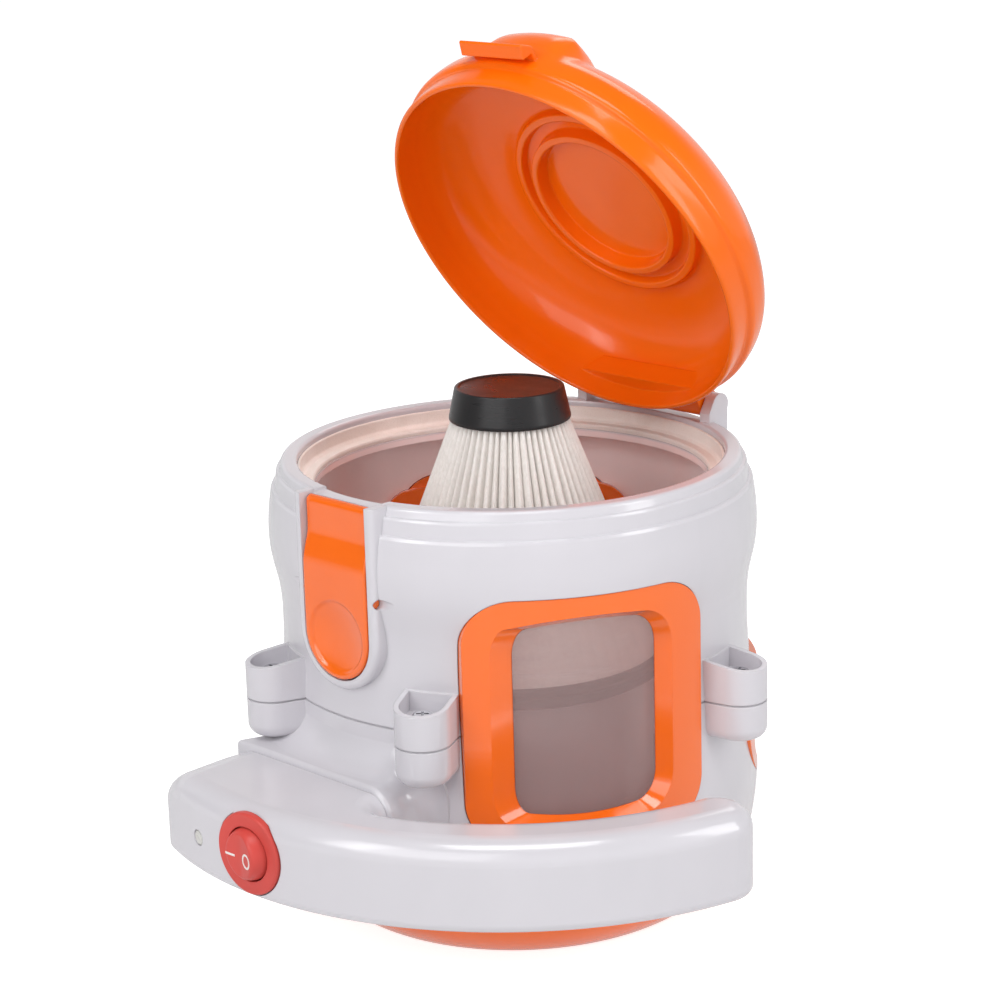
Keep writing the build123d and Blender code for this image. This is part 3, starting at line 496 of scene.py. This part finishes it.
def build_lid():
    seg = 320
    verts, faces = [], []
    vs, fs = lathe(prof_pts, seg)
    # the blister only touches the outer wall, which comes first in the profile
    count = 0
    for i, (r, z) in enumerate(prof_pts):
        n = 1 if r < 1e-6 else seg
        if i < n_outer and r > 1e-6:
            for j in range(count, count + n):
                vs[j] = lid_blister(vs[j])
        count += n
    verts += vs
    faces += fs

    def add(vv, ff):
        base = len(verts)
        verts.extend(vv)
        faces.extend([tuple(base + i for i in f) for f in ff])

    # claw on the free side
    claw = rounded([(-58.6, 136.75, 0.0), (-62.85, 136.75, 0.4), (-63.25, 133.1, 0.35), (-67.75, 134.35, 0.55),
                    (-64.75, 137.95, 0.9), (-58.6, 137.95, 0.0)], 5)
    add(*extrude_x(claw, -11.9, 11.9, 0.35))
    # hinge arm and barrel on the other side
    arm = [(54.0, HINGE_Z - 4.15), (HINGE_Y, HINGE_Z - 4.15)]
    arm += [(HINGE_Y + 4.15 * math.cos(a), HINGE_Z + 4.15 * math.sin(a)) for a in [math.radians(-90 + 10 * k) for k in range(1, 18)]]
    arm += [(HINGE_Y - 1.0, HINGE_Z + 4.05), (HINGE_Y - 4.0, HINGE_Z + 3.0), (54.0, HINGE_Z + 3.0)]
    add(*extrude_x(arm, -22.1, 22.1, 0.5))
    return [LID_M @ Vector(v) for v in verts], faces


def extrude_x(outline, x0, x1, r, steps=4):
    """(y, z) outline swept along X with rounded end edges (radius r), closed by fans."""
    n = len(outline)
    area = sum(outline[i][0] * outline[(i + 1) % n][1] - outline[(i + 1) % n][0] * outline[i][1] for i in range(n))
    sgn = 1.0 if area > 0 else -1.0
    nrm = []
    for i in range(n):
        a, b, c = (Vector(outline[(i + k) % n]) for k in (-1, 0, 1))
        e0, e1 = (b - a), (c - b)
        e0 = e0.normalized() if e0.length > 1e-9 else Vector((0, 0))
        e1 = e1.normalized() if e1.length > 1e-9 else Vector((0, 0))
        m = Vector((-(e0.y + e1.y), e0.x + e1.x)) * sgn
        nrm.append(m.normalized() if m.length > 1e-9 else Vector((0, 0)))
    st = [(x0 + r * (1 - math.cos(math.pi / 2 * k / steps)), r * (1 - math.sin(math.pi / 2 * k / steps))) for k in range(steps + 1)]
    st += [(x0 + x1 - x, i) for x, i in reversed(st)]
    verts, rows = [], []
    for x, ins in st:
        row = []
        for i in range(n):
            q = Vector(outline[i]) + nrm[i] * ins
            row.append(len(verts))
            verts.append(Vector((x, q.x, q.y)))
        rows.append(row)
    faces = []
    for a, b in zip(rows, rows[1:]):
        for i in range(n):
            k = (i + 1) % n
            faces.append((a[i], a[k], b[k], b[i]))
    faces.append(tuple(rows[0]))
    faces.append(tuple(reversed(rows[-1])))
    return verts, faces


lv, lf = build_lid()
make("lid_shell", lv, lf, ORANGE_LID, "lid", "orange_abs", ("lid",), sharp=50)


# ------------------------------------------------------------------ pleated filter cone, cap, ring
def build_pleats():
    N, S, ROWS = 58, 12, 40
    zt, zb, rt, rb = 141.2, 74.05, 16.95, 43.1
    jit = [rng.uniform(-0.13, 0.13) for _ in range(N)]
    lean = [rng.uniform(-0.10, 0.10) for _ in range(N)]
    deep = [rng.uniform(0.85, 1.08) for _ in range(N)]
    sway = [rng.uniform(0, 6.28) for _ in range(N)]
    verts, outer, inner = [], [], []
    for i in range(ROWS + 1):
        f = i / ROWS
        z = zt + (zb - zt) * f
        R = rt + (rb - rt) * f
        depth = (1.7 + 2.5 * f) * (1.0 - smooth01((f - 0.58) / 0.12)) + 0.06
        ro, ri = [], []
        for k in range(N):
            a0 = k + jit[k] + lean[k] * (f - 0.4) + 0.05 * math.sin(sway[k] + 5.5 * f)
            k1 = (k + 1) % N
            a1 = k + 1 + jit[k1] + lean[k1] * (f - 0.4) + 0.05 * math.sin(sway[k1] + 5.5 * f)
            for s in range(S):
                t = s / S
                tri = 1 - abs(2 * t - 1)
                sh = math.sin(math.pi / 2 * tri) ** 0.75
                a = 2 * math.pi * (a0 + (a1 - a0) * t) / N
                r = R - depth * deep[k] * (1 - sh)
                ro.append(len(verts))
                verts.append(Vector((r * math.cos(a), r * math.sin(a), z)))
                ri.append(len(verts))
                verts.append(Vector(((r - 0.55) * math.cos(a), (r - 0.55) * math.sin(a), z)))
        outer.append(ro)
        inner.append(ri)
    faces = []
    M = N * S
    for i in range(ROWS):
        for j in range(M):
            k = (j + 1) % M
            faces.append((outer[i][j], outer[i + 1][j], outer[i + 1][k], outer[i][k]))
            faces.append((inner[i][j], inner[i][k], inner[i + 1][k], inner[i + 1][j]))
    for j in range(M):
        k = (j + 1) % M
        faces.append((outer[0][j], outer[0][k], inner[0][k], inner[0][j]))
        faces.append((outer[ROWS][j], inner[ROWS][j], inner[ROWS][k], outer[ROWS][k]))
    return verts, faces


pv, pf = build_pleats()
make("filter_cone", pv, pf, CLOTH, "body", "pleat_fabric", ("filter_pleats",), sharp=70, weighted=False)

cap = rounded([(0, 141.3), (17.6, 141.3, 0.35), (17.55, 142.3, 0.4), (15.75, 150.75, 0.55), (14.7, 150.75, 0.3), (14.3, 150.4, 0.3), (0, 150.3)], 6)
make("filter_cap_top", *lathe(cap, 160), BLACK, "body", "black_abs", ("filter_cap",), sharp=45)
ring = rounded([(33.5, 68.0, 0.3), (44.0, 68.0, 0.5), (44.3, 68.9, 0.3), (44.3, 70.6, 0.15), (43.9, 70.9, 0.1), (43.9, 71.5, 0.1), (44.3, 71.8, 0.15), (44.3, 73.3, 0.4), (43.7, 74.0, 0.4), (33.5, 74.0, 0.3)], 4)
make("filter_ring", *lathe(ring, 200), BLACK_MATT, "body", "black_matt", ("filter_base_ring",), sharp=45)
seal = rounded([(56.9, 124.0, 0.2), (61.45, 124.0, 0.2), (61.45, 130.2, 0.25), (60.75, 129.9, 0.5), (60.65, 126.4, 0.9), (59.6, 125.6, 0.6), (57.2, 125.6, 0.4), (56.9, 125.0, 0.3)], 5)
make("mouth_seal", *lathe(seal, 240), CREAM, "body", "cream_rubber", ("rim_gasket",), sharp=50)


# ------------------------------------------------------------------ latch: rocking tab with rounded edges and thumb dish
def latch_front(z):
    """Distance of the latch's front face from the drum axis plane."""
    pts = LATCH_CURVE
    if z >= pts[0][0]:
        return pts[0][1]
    for (z0, d0), (z1, d1) in zip(pts, pts[1:]):
        if z1 <= z <= z0:
            return d0 + (d1 - d0) * (z - z0) / (z1 - z0)
    return pts[-1][1]


LATCH_CURVE = spline([(131.2, 67.2), (130.7, 68.05), (129.6, 68.55), (126.0, 68.55), (122.0, 68.62), (120.0, 68.98), (116.8, 69.95), (114.0, 70.62), (111.8, 70.8), (104.0, 70.8), (92.0, 70.8), (80.0, 70.8)], 8)


def build_latch():
    zs = []
    z = 131.15
    while z > 81.6:
        zs.append(z)
        z -= 0.45 if (z > 128.5 or z < 108) else 0.7
    for k in range(9):
        zs.append(81.6 - (81.6 - 81.32) * (1 - math.cos(math.pi / 2 * k / 8)))
    NX = 56
    R_EDGE = 0.75
    front, back, verts = [], [], []
    for z in zs:
        w = LATCH_W if z >= LATCH_C else math.sqrt(max(LATCH_W ** 2 - (LATCH_C - z) ** 2, 0.01))
        fr, bk = [], []
        for j in range(NX + 1):
            s = -math.cos(math.pi * j / NX)
            s = 0.6 * s + 0.4 * (2 * j / NX - 1)
            x = w * s
            # distance to the outline
            if z >= LATCH_C:
                e = LATCH_W - abs(x)
            else:
                e = LATCH_W - math.hypot(x, LATCH_C - z)
            e = max(e, 0.0)
            d = latch_front(z)
            if e < R_EDGE:
                d -= R_EDGE - math.sqrt(max(R_EDGE ** 2 - (R_EDGE - e) ** 2, 0.0))
            # thumb dish with a soft raised lip
            q = math.hypot(x, z - (LATCH_C - 0.4))
            if q < 13.0:
                k = smooth01((10.8 - q) / 1.2)
                d -= k * (0.45 + 1.60 * (1 - (q / 10.8) ** 2))
            fr.append(len(verts))
            verts.append(Vector((x, -d, z)))
            bk.append(len(verts))
            verts.append(Vector((x, -min(max(latch_front(z) - 2.3, 66.35), 68.45), z)))
        front.append(fr)
        back.append(bk)
    faces = []
    for i in range(len(zs) - 1):
        for j in range(NX):
            faces.append((front[i][j], front[i][j + 1], front[i + 1][j + 1], front[i + 1][j]))
            faces.append((back[i][j], back[i + 1][j], back[i + 1][j + 1], back[i][j + 1]))
        faces.append((front[i][0], front[i + 1][0], back[i + 1][0], back[i][0]))
        faces.append((front[i][NX], back[i][NX], back[i + 1][NX], front[i + 1][NX]))
    for j in range(NX):
        faces.append((front[0][j], back[0][j], back[0][j + 1], front[0][j + 1]))
        faces.append((front[-1][j], front[-1][j + 1], back[-1][j + 1], back[-1][j]))
    # trunnion pins in the boss walls
    base = len(verts)
    for sx in (-1, 1):
        rows = []
        for (x, r) in ((11.0, 1.4), (14.2, 1.4), (14.4, 1.2)):
            row = []
            for k in range(24):
                a = 2 * math.pi * k / 24
                row.append(len(verts))
                verts.append(Vector((sx * x, -68.7 + r * math.cos(a), 105.3 + r * math.sin(a))))
            rows.append(row)
        for a, b in zip(rows, rows[1:]):
            for k in range(24):
                faces.append((a[k], a[(k + 1) % 24], b[(k + 1) % 24], b[k]))
        faces.append(tuple(rows[0]))
        faces.append(tuple(rows[-1]))
    return verts, faces


tv, tf = build_latch()
make("latch_tab", tv, tf, ORANGE, "latch", "orange_abs", ("latch",), sharp=42)


# ------------------------------------------------------------------ rocker of the switch, with I and O
SW_M = Matrix.Rotation(math.radians(SW_AZ), 4, "Z") @ Matrix.Translation((0, -SW_D, SW_Z)) @ Matrix.Rotation(math.radians(ROCKER_REST), 4, "Z")
RK_R, RK_H = 7.4, 3.75        # ball radius about the pivot, face height above it at the middle
T8 = math.tan(math.radians(8.0))


def rocker_face(x):
    return RK_H + (math.sqrt(x * x + 0.8) - 0.89) * T8


def smin(a, b, k):
    h = max(k - abs(a - b), 0.0) / k
    return min(a, b) - h * h * k * 0.25


def build_rocker():
    verts, rows = [Vector((0, -rocker_face(0), 0))], []
    SEG = 96
    angs = [1.5 * k for k in range(1, 61)]
    for a in angs:
        rho = RK_R * math.sin(math.radians(a))
        hs = RK_R * math.cos(math.radians(a))
        row = []
        for j in range(SEG):
            t = 2 * math.pi * j / SEG
            x, v = rho * math.cos(t), rho * math.sin(t)
            row.append(len(verts))
            verts.append(Vector((x, -smin(rocker_face(x), hs, 0.9), v)))
        rows.append(row)
    for a in (100, 110, 120):
        rho, hs = RK_R * math.sin(math.radians(a)), RK_R * math.cos(math.radians(a))
        row = []
        for j in range(SEG):
            t = 2 * math.pi * j / SEG
            row.append(len(verts))
            verts.append(Vector((rho * math.cos(t), -hs, rho * math.sin(t))))
        rows.append(row)
    faces = [(0, rows[0][j], rows[0][(j + 1) % SEG]) for j in range(SEG)]
    for a, b in zip(rows, rows[1:]):
        for j in range(SEG):
            k = (j + 1) % SEG
            faces.append((a[j], b[j], b[k], a[k]))
    faces.append(tuple(rows[-1]))
    return [SW_M @ v for v in verts], faces


kv, kf = build_rocker()
make("rocker_cap", kv, kf, RED, "rocker", "red_nylon", ("switch_rocker",), sharp=60, weighted=False)


def strip(path, half, closed, lift=0.09, sink=0.12):
    """Thin raised stroke following the rocker's face along (x, v) points."""
    verts, rows = [], []
    n = len(path)
    for i in range(n):
        a = Vector(path[(i - 1) % n] if closed or i > 0 else path[0])
        b = Vector(path[(i + 1) % n] if closed or i < n - 1 else path[-1])
        d = (b - a).normalized()
        nn = Vector((-d.y, d.x))
        c = Vector(path[i])
        row = []
        for (o, h) in ((-half, -sink), (-half, lift * 0.6), (-half * 0.7, lift), (half * 0.7, lift), (half, lift * 0.6), (half, -sink)):
            q = c + nn * o
            row.append(len(verts))
            verts.append(SW_M @ Vector((q.x, -(rocker_face(q.x) + h), q.y)))
        rows.append(row)
    faces = []
    pairs = list(zip(rows, rows[1:])) + ([(rows[-1], rows[0])] if closed else [])
    for a, b in pairs:
        for k in range(6):
            faces.append((a[k], a[(k + 1) % 6], b[(k + 1) % 6], b[k]))
    if not closed:
        faces.append(tuple(rows[0]))
        faces.append(tuple(reversed(rows[-1])))
    return verts, faces


make("mark_on", *strip([(-5.75 + 3.6 * k / 8, -0.35) for k in range(9)], 0.32, False), INK, "rocker", "red_nylon", sharp=60, weighted=False)
make("mark_off", *strip([(3.1 + 1.72 * math.cos(2 * math.pi * k / 40), -0.55 + 1.85 * math.sin(2 * math.pi * k / 40)) for k in range(40)], 0.30, True), INK, "rocker", "red_nylon", sharp=60, weighted=False)


# ------------------------------------------------------------------ camera, floor, light
CAM_AZ, CAM_EL, CAM_D = 44.0, 14.65, 0.7496
a, e = math.radians(CAM_AZ), math.radians(CAM_EL)
aim = Vector((0, 0, Z_RIM * MM))
back = Vector((math.sin(a) * math.cos(e), -math.cos(a) * math.cos(e), math.sin(e)))
right = Vector((math.cos(a), math.sin(a), 0))
cam_data = bpy.data.cameras.new("camera")
cam = bpy.data.objects.new("camera", cam_data)
scene.collection.objects.link(cam)
cam.rotation_mode = "QUATERNION"
cam.location = aim + back * CAM_D
roll = Matrix.Rotation(math.radians(-1.54), 4, "Z")
cam.rotation_quaternion = ((-back).to_track_quat("-Z", "Y").to_matrix().to_4x4() @ roll).to_quaternion()
cam_data.sensor_width = 36.0
cam_data.lens = 2600.0 / 1001.0 * 36.0
cam_data.shift_x = -10.3 / 1001.0
cam_data.shift_y = -52.0 / 1001.0
cam_data.clip_start, cam_data.clip_end = 0.05, 50.0
scene.camera = cam

me = bpy.data.meshes.new("floor")
S = 6.0
me.from_pydata([(-S, -S, 0), (S, -S, 0), (S, S, 0), (-S, S, 0)], [], [(0, 1, 2, 3)])
floor = bpy.data.objects.new("floor", me)
scene.collection.objects.link(floor)
ft = Tree("floor_paper")
ft.colour(ft.mix(ft.ramp(ft.noise(3.0, 2.0), 0.3, 0.7, 0.0, 1.0), (0.52, 0.52, 0.52), (0.50, 0.50, 0.50)))
ft.set(Roughness=0.9, Emission_Color=(1, 1, 1, 1))
seen = ft.t.nodes.new("ShaderNodeLightPath")
ft.link(ft.ramp(seen.outputs["Is Camera Ray"], 0.0, 1.0, 0.34, 0.85), ft.p.inputs["Emission Strength"])
ft.p.inputs["Specular IOR Level"].default_value = 0.1
me.materials.append(ft.m)

world = bpy.data.worlds.new("studio")
scene.world = world
world.use_nodes = True
wt = world.node_tree
for n in list(wt.nodes):
    wt.nodes.remove(n)
wo = wt.nodes.new("ShaderNodeOutputWorld")
b1 = wt.nodes.new("ShaderNodeBackground")
b1.inputs["Color"].default_value = (1.0, 0.99, 1.0, 1)
# bright towards the horizon, dim overhead
wc = wt.nodes.new("ShaderNodeTexCoord")
ws = wt.nodes.new("ShaderNodeSeparateXYZ")
wr = wt.nodes.new("ShaderNodeMapRange")
wr.interpolation_type = "SMOOTHSTEP"
for key, val in (("From Min", 0.15), ("From Max", 0.75), ("To Min", 0.86), ("To Max", 0.20)):
    wr.inputs[key].default_value = val
wt.links.new(wc.outputs["Generated"], ws.inputs[0])
wt.links.new(ws.outputs["Z"], wr.inputs["Value"])
wd = wt.nodes.new("ShaderNodeVectorMath")
wd.operation = "DOT_PRODUCT"
wd.inputs[1].default_value = Vector((-0.69, -0.71, 0.14)).normalized()
wf = wt.nodes.new("ShaderNodeMapRange")
wf.interpolation_type = "SMOOTHSTEP"
for key, val in (("From Min", 0.82), ("From Max", 0.94), ("To Min", 1.0), ("To Max", 0.15)):
    wf.inputs[key].default_value = val
wm = wt.nodes.new("ShaderNodeMath")
wm.operation = "MULTIPLY"
wt.links.new(wc.outputs["Generated"], wd.inputs[0])
wt.links.new(wd.outputs["Value"], wf.inputs["Value"])
wt.links.new(wr.outputs["Result"], wm.inputs[0])
wt.links.new(wf.outputs["Result"], wm.inputs[1])
wt.links.new(wm.outputs[0], b1.inputs["Strength"])
b2 = wt.nodes.new("ShaderNodeBackground")
b2.inputs["Color"].default_value = (1, 1, 1, 1)
b2.inputs["Strength"].default_value = 1.0
lp = wt.nodes.new("ShaderNodeLightPath")
mx = wt.nodes.new("ShaderNodeMixShader")
wt.links.new(lp.outputs["Is Camera Ray"], mx.inputs["Fac"])
wt.links.new(b1.outputs[0], mx.inputs[1])
wt.links.new(b2.outputs[0], mx.inputs[2])
wt.links.new(mx.outputs[0], wo.inputs["Surface"])


def softbox(name, pos, target, size, power, colour=(1, 1, 1)):
    d = bpy.data.lights.new(name, "AREA")
    d.shape = "RECTANGLE"
    d.size, d.size_y = size
    d.energy = power
    d.color = colour
    o = bpy.data.objects.new(name, d)
    scene.collection.objects.link(o)
    o.location = pos
    o.rotation_mode = "QUATERNION"
    o.rotation_quaternion = (Vector(target) - Vector(pos)).to_track_quat("-Z", "Y")
    return o


ctr = Vector((0, 0, 0.12))
toward = Vector((math.sin(a), -math.cos(a), 0))
front = Vector((math.sin(math.radians(14.0)), -math.cos(math.radians(14.0)), 0))
softbox("key_left", ctr - right * 0.95 + toward * 0.75 + Vector((0, 0, 0.75)), ctr, (0.35, 0.9), 3.2)
softbox("front", ctr + front * 1.20 + Vector((0, 0, 0.58)), ctr + Vector((0, 0, 0.05)), (1.0, 0.8), 5.0)
softbox("fill_right", ctr + right * 1.05 + toward * 0.55 + Vector((0, 0, 0.55)), ctr, (0.35, 0.9), 4.4)
softbox("top", ctr + toward * 0.42 + Vector((0, 0, 1.20)), ctr, (0.7, 0.5), 6.5)
softbox("rear", ctr - toward * 0.9 + right * 0.3 + Vector((0, 0, 0.8)), ctr, (0.6, 0.4), 1.6)

scene.view_settings.view_transform = "Standard"
scene.view_settings.look = "None"
scene.view_settings.exposure = 0.0
scene.view_settings.gamma = 1.0
